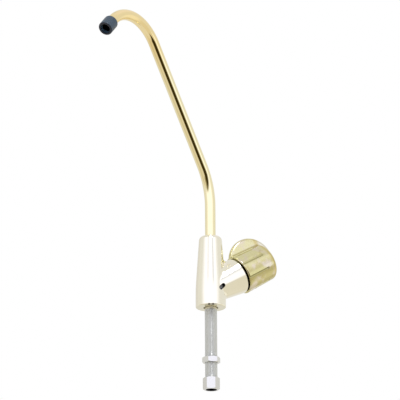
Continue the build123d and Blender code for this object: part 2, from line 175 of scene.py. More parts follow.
# Patches of the tent, later ones over earlier ones: degrees round from the camera, degrees above the
# horizon, how soft the sides and the heights are, and the light.
patches = {
    "backLeft": ((-178, -118), (-12, 40), 16, 12, (0.77, 0.75, 0.72, 1)),
    "topRight": ((90, 160), (45, 84), 14, 8, (0.92, 0.88, 0.9, 1)),
    "table": ((-112, 100), (-66, -13), 14, 5, (0.77, 0.71, 0.58, 1)),
    "warmSide": ((34, 152), (-60, -8), 12, 8, (0.8, 0.76, 0.65, 1)),
    "farSide": ((98, 130), (-36, 6), 8, 6, (0.98, 0.95, 0.86, 1)),
    "fold": ((-90, -68), (-50, -14), 8, 6, (0.66, 0.6, 0.48, 1)),
    "front": ((-62, 57), (-6, 41), 22, 6, (1.22, 1.22, 1.36, 1)),
    "frontEdge": ((58, 76), (-12, 4), 4, 4, (1.2, 1.24, 1.32, 1)),
    "lintel": ((-100, 34), (45, 58), 12, 5, (0.76, 0.75, 0.73, 1)),
    "leftSeam": ((-27, -18), (22, 44), 4, 3, (0.9, 0.91, 1.0, 1)),
    "rightSeam": ((15, 27), (21, 44), 4, 3, (0.85, 0.87, 0.97, 1)),
    "besideSlot": ((-38, -4), (-31, -8), 6, 4, (0.3, 0.26, 0.15, 1)),
    "slot": ((-14, 46), (-55, -10), 5, 4, (0.045, 0.03, 0.004, 1)),   # the dark room behind the camera
}


def makeWorld():
    """A direction has two angles: aside, the arctangent of its part to the camera's right over its part to
    the camera, and above, the arcsine of its height. A patch is where both are between their limits."""
    world = bpy.data.worlds.new("tent")
    bpy.context.scene.world = world
    world.use_nodes = True
    tree = world.node_tree
    tree.nodes.clear()
    ways = tree.nodes.new("ShaderNodeTexCoord").outputs["Generated"]
    a = math.radians(camera["azimuth"])
    apart = tree.nodes.new("ShaderNodeSeparateXYZ")
    feed(tree, ways, apart, 0)
    degrees = 180 / math.pi
    aside = sums(tree, "ARCTAN2", dotWith(tree, ways, (math.cos(a), math.sin(a), 0)),
                 dotWith(tree, ways, (math.sin(a), -math.cos(a), 0)))
    aside = sums(tree, "MULTIPLY", aside, degrees)
    above = sums(tree, "MULTIPLY", sums(tree, "ARCSINE", apart.outputs[2]), degrees)
    light = studio["tent"]
    for sides, heights, softSides, softHeights, colour in patches.values():
        across = band(tree, aside, *sides, softSides)
        upwards = band(tree, above, *heights, softHeights)
        light = blendColours(tree, sums(tree, "MULTIPLY", across, upwards), light, colour)

    tent = tree.nodes.new("ShaderNodeBackground")
    feed(tree, light, tent, "Color")
    ground = addNode(tree, "ShaderNodeBackground", Color=studio["ground"])
    seen = tree.nodes.new("ShaderNodeLightPath").outputs["Is Camera Ray"]
    mixed = tree.nodes.new("ShaderNodeMixShader")
    feed(tree, seen, mixed, 0)
    tree.links.new(tent.outputs[0], mixed.inputs[1])
    tree.links.new(ground.outputs[0], mixed.inputs[2])
    tree.links.new(mixed.outputs[0], tree.nodes.new("ShaderNodeOutputWorld").inputs[0])


def makeFloor():
    """A wide square of pale paper far under the tap, left out of what the plating mirrors."""
    half = studio["floorSize"] / 2
    z = studio["floorHeight"]
    mesh = bpy.data.meshes.new("studioFloor")
    corners = [(-half, -half, z), (half, -half, z), (half, half, z), (-half, half, z)]
    mesh.from_pydata(corners, [], [(0, 1, 2, 3)])
    floor = bpy.data.objects.new("studioFloor", mesh)
    bpy.context.scene.collection.objects.link(floor)
    floor.visible_glossy = False
    paper = bpy.data.materials.new("paleFloor")
    paper.use_nodes = True
    shader = paper.node_tree.nodes["Principled BSDF"]
    shader.inputs["Base Color"].default_value = studio["paper"]
    shader.inputs["Roughness"].default_value = studio["paperRoughness"]
    mesh.materials.append(paper)


# The lamp makes the bright line down the stud. Degrees, metres and watts.
keyLamp = {
    "azimuth": 77, "elevation": 50, "distance": 1.6, "wide": 0.42, "tall": 0.7, "power": 7.0,
    "aim": (0, -0.02, 0.06),
}


def makeLamp():
    """A soft oblong lamp, at distance from its aim by its azimuth and elevation, that looks at its aim."""
    lamp = bpy.data.lights.new("keyLamp", "AREA")
    lamp.shape = "RECTANGLE"
    lamp.size = keyLamp["wide"]
    lamp.size_y = keyLamp["tall"]
    lamp.energy = keyLamp["power"]
    rig = bpy.data.objects.new("keyLamp", lamp)
    bpy.context.scene.collection.objects.link(rig)
    way = wayTo(keyLamp["azimuth"], keyLamp["elevation"])
    place = Matrix.Translation(Vector(keyLamp["aim"]) + way * keyLamp["distance"])
    rig.matrix_world = place @ way.to_track_quat("Z", "Y").to_matrix().to_4x4()
    rig.visible_camera = False


makeWorld()
makeFloor()
makeLamp()
bpy.context.scene.view_settings.view_transform = "Standard"
print("studio built")


# Shared shader groups

def newGroup(name, ins, outs):
    """A node group with named inputs and outputs."""
    tree = bpy.data.node_groups.new(name, "ShaderNodeTree")
    for label, kind, value in ins:
        socket = tree.interface.new_socket(label, in_out="INPUT", socket_type=kind)
        socket.default_value = value
    for label, kind in outs:
        tree.interface.new_socket(label, in_out="OUTPUT", socket_type=kind)
    return tree, tree.nodes.new("NodeGroupInput"), tree.nodes.new("NodeGroupOutput")


polish = {
    "cloudScale": 55.0, "cloudDetail": 4.0, "cloudRoughness": 0.6, "clouds": (0.42, 0.72),
    "smearScale": 240.0, "smearDetail": 3.0, "smears": (0.35, 0.75),
    "waveDetail": 1.0, "waveDepth": 0.0004,
}
grain = {"detail": 5.0, "roughness": 0.65, "specks": (0.4, 0.7), "depth": 0.0001}


def polishGroup():
    """Plating: the tone goes to tarnish with one noise, the roughness rises with a second, and the slow
    waves of a buffed surface are a bump of a third."""
    tree, given, put = newGroup("polishedPlating",
        [("Colour", "NodeSocketColor", (1, 1, 1, 1)), ("Tarnish", "NodeSocketColor", (1, 1, 1, 1)),
         ("Tarnish Share", "NodeSocketFloat", 0.3), ("Roughness", "NodeSocketFloat", 0.08),
         ("Roughness Spread", "NodeSocketFloat", 0.05), ("Wave Size", "NodeSocketFloat", 90.0),
         ("Wave Height", "NodeSocketFloat", 0.02)],
        [("Colour", "NodeSocketColor"), ("Roughness", "NodeSocketFloat"), ("Normal", "NodeSocketVector")])
    place = tree.nodes.new("ShaderNodeTexCoord").outputs["Object"]
    cloud = addNode(tree, "ShaderNodeTexNoise", Scale=polish["cloudScale"], Detail=polish["cloudDetail"],
                    Roughness=polish["cloudRoughness"])
    feed(tree, place, cloud, "Vector")
    clouds = ease(tree, cloud.outputs[0], *polish["clouds"])
    mask = sums(tree, "MULTIPLY", clouds, given.outputs["Tarnish Share"])
    feed(tree, blendColours(tree, mask, given.outputs["Colour"], given.outputs["Tarnish"]), put, "Colour")
    smear = addNode(tree, "ShaderNodeTexNoise", Scale=polish["smearScale"], Detail=polish["smearDetail"])
    feed(tree, place, smear, "Vector")
    smears = ease(tree, smear.outputs[0], *polish["smears"])
    spread = sums(tree, "MULTIPLY", smears, given.outputs["Roughness Spread"])
    feed(tree, sums(tree, "ADD", given.outputs["Roughness"], spread), put, "Roughness")
    wave = addNode(tree, "ShaderNodeTexNoise", Detail=polish["waveDetail"])
    feed(tree, place, wave, "Vector")
    feed(tree, given.outputs["Wave Size"], wave, "Scale")
    bump = addNode(tree, "ShaderNodeBump", Distance=polish["waveDepth"])
    feed(tree, given.outputs["Wave Height"], bump, "Strength")
    feed(tree, wave.outputs[0], bump, "Height")
    feed(tree, bump.outputs[0], put, "Normal")
    return tree


def grainGroup():
    """Fine moulded or cast grain: one noise gives the specks, the mask put out and a small bump."""
    tree, given, put = newGroup("fineGrain",
        [("Colour", "NodeSocketColor", (1, 1, 1, 1)), ("Speck", "NodeSocketColor", (1, 1, 1, 1)),
         ("Speck Share", "NodeSocketFloat", 0.3), ("Grain Size", "NodeSocketFloat", 1500.0),
         ("Grain Height", "NodeSocketFloat", 0.2)],
        [("Colour", "NodeSocketColor"), ("Mask", "NodeSocketFloat"), ("Normal", "NodeSocketVector")])
    place = tree.nodes.new("ShaderNodeTexCoord").outputs["Object"]
    noise = addNode(tree, "ShaderNodeTexNoise", Detail=grain["detail"], Roughness=grain["roughness"])
    feed(tree, place, noise, "Vector")
    feed(tree, given.outputs["Grain Size"], noise, "Scale")
    mask = ease(tree, noise.outputs[0], *grain["specks"])
    feed(tree, mask, put, "Mask")
    share = sums(tree, "MULTIPLY", mask, given.outputs["Speck Share"])
    feed(tree, blendColours(tree, share, given.outputs["Colour"], given.outputs["Speck"]), put, "Colour")
    bump = addNode(tree, "ShaderNodeBump", Distance=grain["depth"])
    feed(tree, given.outputs["Grain Height"], bump, "Strength")
    feed(tree, noise.outputs[0], bump, "Height")
    feed(tree, bump.outputs[0], put, "Normal")
    return tree


plating = polishGroup()
grainy = grainGroup()


def newMaterial(name):
    """A new material, with its node tree and its shader."""
    made = bpy.data.materials.new(name)
    made.use_nodes = True
    return made, made.node_tree, made.node_tree.nodes["Principled BSDF"]


def metalMaterial(name, values, metallic):
    """Polished or brushed metal out of the plating group. Values are the group's inputs."""
    made, tree, shader = newMaterial(name)
    group = tree.nodes.new("ShaderNodeGroup")
    group.node_tree = plating
    for label, value in values.items():
        group.inputs[label].default_value = value
    shader.inputs["Metallic"].default_value = metallic
    feed(tree, group.outputs["Colour"], shader, "Base Color")
    feed(tree, group.outputs["Roughness"], shader, "Roughness")
    feed(tree, group.outputs["Normal"], shader, "Normal")
    return made


def grainMaterial(name, values, roughness, specular=0.5):
    """Plastic, rubber or ceramic out of the grain group. Roughness is its two ends over the group's mask."""
    made, tree, shader = newMaterial(name)
    group = tree.nodes.new("ShaderNodeGroup")
    group.node_tree = grainy
    for label, value in values.items():
        group.inputs[label].default_value = value
    shader.inputs["Specular IOR Level"].default_value = specular
    feed(tree, group.outputs["Colour"], shader, "Base Color")
    feed(tree, ease(tree, group.outputs["Mask"], 0.0, 1.0, *roughness), shader, "Roughness")
    feed(tree, group.outputs["Normal"], shader, "Normal")
    return made


finishes = {
    "body": {"Colour": (0.925, 0.89, 0.755, 1), "Tarnish": (0.88, 0.83, 0.67, 1), "Tarnish Share": 0.3,
             "Roughness": 0.06, "Roughness Spread": 0.05, "Wave Size": 110.0, "Wave Height": 0.03},
    "gold": {"Colour": (0.95, 0.865, 0.57, 1), "Tarnish": (0.9, 0.78, 0.45, 1), "Tarnish Share": 0.25,
             "Roughness": 0.05, "Roughness Spread": 0.05, "Wave Size": 70.0, "Wave Height": 0.04},
    "knob": {"Colour": (0.745, 0.705, 0.41, 1), "Tarnish": (0.65, 0.585, 0.3, 1), "Tarnish Share": 0.5,
             "Roughness": 0.12, "Roughness Spread": 0.08, "Wave Size": 130.0, "Wave Height": 0.06},
    "zinc": {"Colour": (0.61, 0.625, 0.615, 1), "Tarnish": (0.52, 0.535, 0.53, 1), "Tarnish Share": 0.4,
             "Roughness": 0.2, "Roughness Spread": 0.04, "Wave Size": 150.0, "Wave Height": 0.02},
    "brightZinc": {"Colour": (0.745, 0.742, 0.715, 1), "Tarnish": (0.64, 0.64, 0.64, 1), "Tarnish Share": 0.4,
                   "Roughness": 0.16, "Roughness Spread": 0.1, "Wave Size": 260.0, "Wave Height": 0.12},
    "rawBrass": {"Colour": (0.88, 0.7, 0.35, 1), "Tarnish": (0.66, 0.48, 0.22, 1), "Tarnish Share": 0.4,
                 "Roughness": 0.2, "Roughness Spread": 0.15, "Wave Size": 400.0, "Wave Height": 0.2},
    "springSteel": {"Colour": (0.5, 0.5, 0.52, 1), "Tarnish": (0.34, 0.33, 0.33, 1), "Tarnish Share": 0.5,
                    "Roughness": 0.25, "Roughness Spread": 0.15, "Wave Size": 400.0, "Wave Height": 0.2},
}
metallic = {"zinc": 0.65}    # the stud's plating is dull; the others are 1
metals = {name: metalMaterial(name + "Metal", values, metallic.get(name, 1.0))
          for name, values in finishes.items()}

blackPlastic = grainMaterial("blackPlastic",
    {"Colour": (0.022, 0.045, 0.072, 1), "Speck": (0.07, 0.12, 0.18, 1), "Speck Share": 0.35,
     "Grain Size": 1400.0, "Grain Height": 0.4}, (0.32, 0.5))
blackRing = grainMaterial("blackRing",
    {"Colour": (0.003, 0.002, 0.0005, 1), "Speck": (0.012, 0.009, 0.004, 1), "Speck Share": 0.3,
     "Grain Size": 1200.0, "Grain Height": 0.2}, (0.6, 0.75), 0.0)
softRubber = grainMaterial("softRubber",
    {"Colour": (0.02, 0.02, 0.02, 1), "Speck": (0.06, 0.06, 0.06, 1), "Speck Share": 0.4,
     "Grain Size": 1600.0, "Grain Height": 0.3}, (0.5, 0.75), 0.3)
oliveRubber = grainMaterial("oliveRubber",
    {"Colour": (0.2, 0.18, 0.11, 1), "Speck": (0.3, 0.27, 0.18, 1), "Speck Share": 0.4,
     "Grain Size": 1600.0, "Grain Height": 0.3}, (0.5, 0.7), 0.3)
whiteCeramic = grainMaterial("whiteCeramic",
    {"Colour": (0.86, 0.85, 0.8, 1), "Speck": (0.7, 0.68, 0.62, 1), "Speck Share": 0.3,
     "Grain Size": 2200.0, "Grain Height": 0.05}, (0.12, 0.25))
whitePlastic = grainMaterial("whitePlastic",
    {"Colour": (0.8, 0.8, 0.77, 1), "Speck": (0.68, 0.68, 0.66, 1), "Speck Share": 0.3,
     "Grain Size": 1500.0, "Grain Height": 0.1}, (0.3, 0.45))
print("materials made")


# Stains and painted shade: where a mask is 1, the surface shows another colour and is at least as rough as
# told

def stainAndShade(made, mask, colour, roughness=0.0):
    """The material's colour so far goes under the new one by mask. Its roughness becomes the larger of
    what it was and mask times roughness."""
    tree = made.node_tree
    shader = tree.nodes["Principled BSDF"]
    under = shader.inputs["Base Color"].links[0].from_socket
    feed(tree, blendColours(tree, mask, under, colour), shader, "Base Color")
    smooth = shader.inputs["Roughness"].links[0].from_socket
    feed(tree, sums(tree, "MAXIMUM", smooth, sums(tree, "MULTIPLY", mask, roughness)), shader, "Roughness")


def allOf(tree, *masks):
    """1 where every mask is 1."""
    product = masks[0]
    for mask in masks[1:]:
        product = sums(tree, "MULTIPLY", product, mask)
    return product


def hypotenuse(tree, a, b):
    """The square root of a squared plus b squared."""
    return sums(tree, "SQRT", sums(tree, "MULTIPLY_ADD", a, a, sums(tree, "MULTIPLY", b, b)))


cloudNoise = {"detail": 2.0, "roughness": 0.5}


def cloudMask(tree, scale, low, high, shift=0.0):
    """Soft patches of a noise, on Object coordinates moved along by shift."""
    place = vectorSums(tree, "ADD", tree.nodes.new("ShaderNodeTexCoord").outputs["Object"], (shift, shift, 0))
    noise = addNode(tree, "ShaderNodeTexNoise", Scale=scale, Detail=cloudNoise["detail"],
                    Roughness=cloudNoise["roughness"])
    feed(tree, place, noise, "Vector")
    return ease(tree, noise.outputs[0], low, high)


branch = {"angle": 30.5, "height": 17.0}    # degrees over level, and where it leaves the tap's axis


def branchPlace(tree):
    """A place in the branch's own frame, in millimetres: towards +X, up across the branch, and along it.
    Each is the dot product with that way, less what it is where the branch leaves the tap's axis."""
    place = tree.nodes.new("ShaderNodeTexCoord").outputs["Object"]
    rise, run = math.sin(math.radians(branch["angle"])), math.cos(math.radians(branch["angle"]))
    across = dotWith(tree, place, (1 / mm, 0, 0))
    up = sums(tree, "SUBTRACT", dotWith(tree, place, (0, -rise / mm, run / mm)), branch["height"] * run)
    along = sums(tree, "SUBTRACT", dotWith(tree, place, (0, run / mm, rise / mm)), branch["height"] * rise)
    return across, up, along


# The drain's inside is painted shade: wall is the darkest band by the rim, floor the grey further in.
drain = {
    "along": 4.6, "below": 2.4, "length": 6.9, "width": 3.6, "tilt": 15.0,
    "fromMiddle": 9.5, "fromMiddleSoft": 0.5, "edge": (-0.02, 0.12), "wallBand": 0.7, "wallSoft": 0.3,
    "wall": (0.035, 0.035, 0.032, 1), "floor": (0.19, 0.19, 0.175, 1), "roughness": 0.4,
}


def paintDrainShade(made):
    """The oval drain, painted dark as shade: how far a place is from the oval's middle line tells wall and
    floor, on +X only.
    Past is how far it lies beyond the ends of that line, and away is the hypotenuse of past and across."""
    tree, d = made.node_tree, drain
    across, up, along = branchPlace(tree)
    run, rise = math.cos(math.radians(d["tilt"])), math.sin(math.radians(d["tilt"]))
    ahead = sums(tree, "SUBTRACT", along, d["along"])
    aloft = sums(tree, "ADD", up, d["below"])
    lengthways = sums(tree, "MULTIPLY_ADD", ahead, run, sums(tree, "MULTIPLY", aloft, rise))
    crossways = sums(tree, "MULTIPLY_ADD", aloft, run, sums(tree, "MULTIPLY", ahead, -rise))
    past = sums(tree, "SUBTRACT", sums(tree, "ABSOLUTE", lengthways), (d["length"] - d["width"]) / 2)
    away = hypotenuse(tree, sums(tree, "MAXIMUM", past, 0.0), crossways)
    half = d["width"] / 2
    near = ease(tree, across, d["fromMiddle"] - d["fromMiddleSoft"], d["fromMiddle"])
    inside = allOf(tree, ease(tree, away, half + d["edge"][0], half + d["edge"][1], 1.0, 0.0), near)
    # painted shade: the grey inside of the drain
    stainAndShade(made, inside, d["floor"], d["roughness"])
    # painted shade: the darkest band by the drain's rim
    wall = half - d["wallBand"]
    rimShade = allOf(tree, inside, ease(tree, away, wall - d["wallSoft"], wall + d["wallSoft"]))
    stainAndShade(made, rimShade, d["wall"], d["roughness"])


knobShape = {
    "base": 31.85, "tip": 67.85, "radius": 17.9, "taper": 1.6, "flutes": 8, "fluteEnd": 54.0, "dome": 6.4,
    "finSide": 3.0,
}
# Where each stain and each painted shade lies, in millimetres: up is across the branch, proud is out of the
# knob's side, and the rest is counted from where the dome starts, from the tip or from the side of the fin.
knobStainsAndShade = {
    "under": {"colour": (0.53, 0.465, 0.19, 1), "share": 0.65, "up": (-3.0, 7.0)},
    "blush": {"colour": (0.74, 0.66, 0.52, 1), "scale": 110.0, "clouds": (0.46, 0.68)},
    "brown": {"colour": (0.54, 0.46, 0.2, 1), "share": 0.7, "scale": 150.0, "clouds": (0.56, 0.74),
              "shift": 0.3},
    # painted shade: an ochre band where the knob turns into its dome
    "shoulder": {"colour": (0.62, 0.51, 0.2, 1), "share": 0.75, "pastDome": (-1.0, 2.0), "soft": 1.6},
    # painted reflection: the dome's end paler and greyer
    "end": {"colour": (0.8, 0.775, 0.66, 1), "share": 0.8, "pastDome": 2.0, "beforeTip": 1.5},
    # painted shade in the crease at the fin's foot
    "creaseShade": {"colour": (0.42, 0.37, 0.15, 1), "share": 0.95, "roughness": 0.25, "proud": (-0.7, 0.9),
               "pastFin": (-0.2, 1.2), "soft": 0.5, "up": (0.0, 6.0), "beforeTip": (3.0, 6.0)},
    # painted shade in the eight flutes
    "groove": {"colour": (0.36, 0.33, 0.15, 1), "share": 0.85, "roughness": 0.3, "proud": (-1.6, 0.3),
               "soft": 0.3, "cosine": (-0.99, -0.9), "fade": 3.0},
}


def stainAndShadeKnob(made):
    """Painted shade in the eight flutes and in the crease at the fin's foot, a painted ochre shade on the
    shoulder, a greyer painted reflection on the end, darker towards the bottom, and blushes and brown clouds
    over it all. The flutes are where the cosine of eight turns is lowest."""
    tree, k = made.node_tree, knobShape
    across, up, along = branchPlace(tree)
    turn = sums(tree, "ARCTAN2", up, sums(tree, "MULTIPLY", across, -1.0))
    folded = sums(tree, "COSINE", sums(tree, "MULTIPLY", turn, float(k["flutes"])))
    slope = math.tan(math.radians(k["taper"]))
    side = sums(tree, "MULTIPLY_ADD", along, -slope, k["radius"] + k["base"] * slope)
    proud = sums(tree, "SUBTRACT", hypotenuse(tree, across, up), side)
    dome = k["tip"] - k["dome"]

    s = knobStainsAndShade["under"]
    stainAndShade(made, ease(tree, up, *s["up"], s["share"], 0.0), s["colour"])
    s = knobStainsAndShade["blush"]
    stainAndShade(made, cloudMask(tree, s["scale"], *s["clouds"]), s["colour"])
    s = knobStainsAndShade["brown"]
    clouds = cloudMask(tree, s["scale"], *s["clouds"], s["shift"])
    stainAndShade(made, sums(tree, "MULTIPLY", clouds, s["share"]), s["colour"])

    # painted shade on the dome's shoulder
    s = knobStainsAndShade["shoulder"]
    shoulder = band(tree, along, dome + s["pastDome"][0], dome + s["pastDome"][1], s["soft"])
    stainAndShade(made, sums(tree, "MULTIPLY", shoulder, s["share"]), s["colour"])
    # painted reflection: the dome's end paler and greyer
    s = knobStainsAndShade["end"]
    end = ease(tree, along, dome + s["pastDome"], k["tip"] - s["beforeTip"], 0.0, s["share"])
    stainAndShade(made, end, s["colour"])

    # painted shade in the crease at the fin's foot
    s = knobStainsAndShade["creaseShade"]
    fin = [k["finSide"] + past for past in s["pastFin"]]
    tip = [k["tip"] - before for before in s["beforeTip"]]
    creaseShade = allOf(tree, band(tree, proud, *s["proud"], s["soft"]),
                   band(tree, sums(tree, "ABSOLUTE", across), *fin, s["soft"]),
                   ease(tree, up, *s["up"]), ease(tree, along, *tip))
    stainAndShade(made, sums(tree, "MULTIPLY", creaseShade, s["share"]), s["colour"], s["roughness"])
    # painted shade in the eight flutes
    s = knobStainsAndShade["groove"]
    groove = allOf(tree, ease(tree, folded, *s["cosine"], 1.0, 0.0),
                   band(tree, proud, *s["proud"], s["soft"]),
                   ease(tree, along, k["fluteEnd"], k["fluteEnd"] + s["fade"], 1.0, 0.0))
    stainAndShade(made, sums(tree, "MULTIPLY", groove, s["share"]), s["colour"], s["roughness"])


ringTopTint = {"colour": (0.25, 0.23, 0.11, 1), "up": (5.0, 14.0)}


def tintRingTop(made):
    """Brassy tint on the upper part of the black ring: it grows with the height across the branch."""
    tree = made.node_tree
    up = branchPlace(tree)[1]
    stainAndShade(made, ease(tree, up, *ringTopTint["up"]), ringTopTint["colour"])


def awayFromLine(tree, point, way):
    """How far a place is from a line, and how far along it, in millimetres. Along is the dot product with
    the line's way, and away is the root of the squared distance from the line's point less along squared."""
    place = vectorSums(tree, "SUBTRACT", tree.nodes.new("ShaderNodeTexCoord").outputs["Object"], point)
    along = dotWith(tree, place, tuple(part / mm for part in way))
    distance = sums(tree, "MULTIPLY", vectorSums(tree, "LENGTH", place), 1 / mm)
    alongSquared = sums(tree, "MULTIPLY", along, along)
    awaySquared = sums(tree, "SUBTRACT", sums(tree, "MULTIPLY", distance, distance), alongSquared)
    return sums(tree, "SQRT", sums(tree, "MAXIMUM", awaySquared, 0.0)), along


upright = ((0, 0, 0), (0, 0, 1))   # the tap's axis: a point and the way it goes

# The shade is painted shade, a little deeper than the sides. The marks are painted reflections of the stud; a
# mark's edge is counted in mark sizes.
foot = {
    "shade": (0.77, 0.73, 0.565, 1), "shadeTop": (0.1, 0.3),
    "ring": (0.8, 0.75, 0.56, 1), "ringRadius": 8.2, "ringSoft": 1.6, "ringRoughness": 0.3,
    "studReflection": (0.06, 0.055, 0.045, 1), "studReflectionRoughness": 0.4, "marks": ((10.3, -6.65), (11.85, -3.4)),
    "studReflectionSize": (2.2, 0.7), "studReflectionWay": 65.0, "studReflectionEdge": (0.75, 1.1), "studReflectionTop": (0.9, 1.2),
}


def stainFoot(made):
    """The underside of the base, painted a little darker as shade, with a rougher, duller ring round the stud
    and two dark painted reflections of the stud by the rim. Each is an oval: where the root of the squares of
    out over its length and side over its width is under one."""
    tree = made.node_tree
    away, height = awayFromLine(tree, *upright)
    under = ease(tree, height, *foot["shadeTop"], 1.0, 0.0)
    stainAndShade(made, under, foot["shade"])
    inner = foot["ringRadius"] - foot["ringSoft"]
    ring = allOf(tree, under, ease(tree, away, inner, foot["ringRadius"], 1.0, 0.0))
    stainAndShade(made, ring, foot["ring"], foot["ringRoughness"])
    place = tree.nodes.new("ShaderNodeTexCoord").outputs["Object"]
    a = math.radians(foot["studReflectionWay"])
    length, width = foot["studReflectionSize"]
    low = ease(tree, height, *foot["studReflectionTop"], 1.0, 0.0)
    # painted reflection of the dark stud in the base's rim
    for x, y in foot["marks"]:
        offset = vectorSums(tree, "SUBTRACT", place, (x * mm, y * mm, 0))
        out = dotWith(tree, offset, (math.sin(a) / mm / length, -math.cos(a) / mm / length, 0))
        side = dotWith(tree, offset, (math.cos(a) / mm / width, math.sin(a) / mm / width, 0))
        studReflection = ease(tree, hypotenuse(tree, out, side), *foot["studReflectionEdge"], 1.0, 0.0)
        stainAndShade(made, allOf(tree, low, studReflection), foot["studReflection"], foot["studReflectionRoughness"])


neck = {"colour": (0.78, 0.73, 0.54, 1), "heights": (-1.9, -1.2), "roughness": 0.3}


def stainNeck(made):
    """The top of the stud, where it mirrors the base: it grows with the height."""
    tree = made.node_tree
    height = awayFromLine(tree, *upright)[1]
    stainAndShade(made, ease(tree, height, *neck["heights"]), neck["colour"], neck["roughness"])


nutBoreShade = {"colour": (0.065, 0.062, 0.095, 1), "radius": 5.05, "soft": 0.1, "roughness": 0.4}


def shadeNutBore(made):
    """Painted shade inside the nuts: nearer to the tap's axis than the radius."""
    tree = made.node_tree
    away = awayFromLine(tree, *upright)[0]
    radius, soft = nutBoreShade["radius"], nutBoreShade["soft"]
    inside = ease(tree, away, radius - soft, radius + soft, 1.0, 0.0)
    # painted shade in the nuts' bores
    stainAndShade(made, inside, nutBoreShade["colour"], nutBoreShade["roughness"])


mouth = {
    "place": (0.074735, -0.134825, 0.217188), "way": (0.3244, -0.5852, -0.7431),     # metres
    "face": (0.008, 0.011, 0.024, 1), "faceAlong": (-0.45, -0.25), "faceRoughness": 0.35,
    "bore": (0.01, 0.008, 0.004, 1), "boreRadius": 4.3, "boreSoft": 0.2, "boreAlong": (-22.0, 1.0),
    "boreEndSoft": 1.0, "boreRoughness": 0.6,
}


def shadeMouth(plastic, gold):
    """The sleeve's end and the tube's bore are painted dark as shade: the end by its place along the mouth's
    axis, the bore by its distance from that axis."""
    tree = plastic.node_tree
    along = awayFromLine(tree, mouth["place"], mouth["way"])[1]
    # painted shade on the sleeve's end face
    stainAndShade(plastic, ease(tree, along, *mouth["faceAlong"]), mouth["face"], mouth["faceRoughness"])
    tree = gold.node_tree
    away, along = awayFromLine(tree, mouth["place"], mouth["way"])
    inner = mouth["boreRadius"] - mouth["boreSoft"]
    bore = allOf(tree, ease(tree, away, inner, mouth["boreRadius"], 1.0, 0.0),
                 band(tree, along, *mouth["boreAlong"], mouth["boreEndSoft"]))
    # painted shade in the tube's bore
    stainAndShade(gold, bore, mouth["bore"], mouth["boreRoughness"])


deepGold = {"colour": (0.94, 0.78, 0.43, 1), "heights": (195.0, 228.0)}


def deepenHook(made):
    """The gold is deeper on the hook: it grows with the height above the base."""
    tree = made.node_tree
    height = awayFromLine(tree, *upright)[1]
    stainAndShade(made, ease(tree, height, *deepGold["heights"]), deepGold["colour"])


paintDrainShade(metals["body"])
stainFoot(metals["body"])
stainAndShadeKnob(metals["knob"])
tintRingTop(blackRing)
deepenHook(metals["gold"])
shadeMouth(blackPlastic, metals["gold"])
shadeNutBore(metals["brightZinc"])
stainNeck(metals["zinc"])
print("stains laid")

wears = {
    "body": metals["body"], "spout_tube": metals["gold"], "knob": metals["knob"], "stud": metals["zinc"],
    "mounting_nut": metals["brightZinc"], "compression_nut": metals["brightZinc"], "spout_tip": blackPlastic,
    "gap_ring": blackRing, "foot_seal": oliveRubber, "spout_seal_lower": softRubber,
    "spout_seal_upper": softRubber, "seat_seal": softRubber, "barrel_seal": softRubber,
    "spindle_seal_inner": softRubber, "spindle_seal_outer": softRubber, "stator_disc": whiteCeramic,
    "rotor_disc": whiteCeramic, "thrust_washer": whitePlastic, "cartridge_barrel": metals["rawBrass"],
    "spindle": metals["rawBrass"], "ferrule": metals["rawBrass"], "spout_clip": metals["rawBrass"],
    "spindle_clip": metals["springSteel"], "grub_screw": metals["springSteel"],
}
for name, material in wears.items():
    nodes[name].data.materials.clear()
    nodes[name].data.materials.append(material)


# New surfaces

def surface(name, points, material, sharp):
    """A closed surface from a grid of points (rows, columns, 3): rows go once round the section,
    columns once round the piece, and both wrap. Each face joins four neighbours. Edges that turn by more
    than sharp, in degrees, aren't shaded smooth."""
    rows, columns = points.shape[:2]
    here = np.arange(rows * columns).reshape(rows, columns)
    below = np.roll(here, -1, 0)
    faces = np.stack((here, np.roll(here, -1, 1), np.roll(below, -1, 1), below), -1).reshape(-1, 4)
    mesh = bpy.data.meshes.new(name)
    mesh.from_pydata((points.reshape(-1, 3) * mm).tolist(), [], faces.tolist())
    mesh.materials.append(material)
    mesh.polygons.foreach_set("use_smooth", np.ones(len(faces), bool))
    mesh.set_sharp_from_angle(angle=math.radians(sharp))
    mesh.update()
    piece = bpy.data.objects.new(name, mesh)
    bpy.context.scene.collection.objects.link(piece)
    return piece


def roundTurns(count):
    """Even angles once round, the last one short of a full turn."""
    return np.linspace(0, 2 * np.pi, count, endpoint=False)


spout = {
    "radius": 4.7625, "wall": 0.9, "foot": 40.3, "corner": 114.3, "swing": 29.0, "step": 1.2, "round": 96,
    "lip": 7, "fine": 8001, "sharp": 50.0,
    # radius, degrees turned and the straight stretch after it, for each bend
    "bends": [(59.8, 37.1, 119.6), (38.9, 100.9, 11.9)],
}


def spoutMarks():
    """Distances along the centreline where the heading starts or stops turning, with the headings there,
    and the whole length. A bend is its radius times its turn long. The first starts before the corner of
    the straights by its radius times the tangent of half its turn."""
    first = spout["bends"][0]
    at = spout["corner"] - spout["foot"] - first[0] * math.tan(math.radians(first[1]) / 2)
    marks, headings = [at], [0.0]
    for radius, degreesTurned, straight in spout["bends"]:
        turn = math.radians(degreesTurned)
        marks += [at + radius * turn, at + radius * turn + straight]
        headings += [headings[-1] + turn] * 2
        at = marks[-1]
    return marks, headings, at


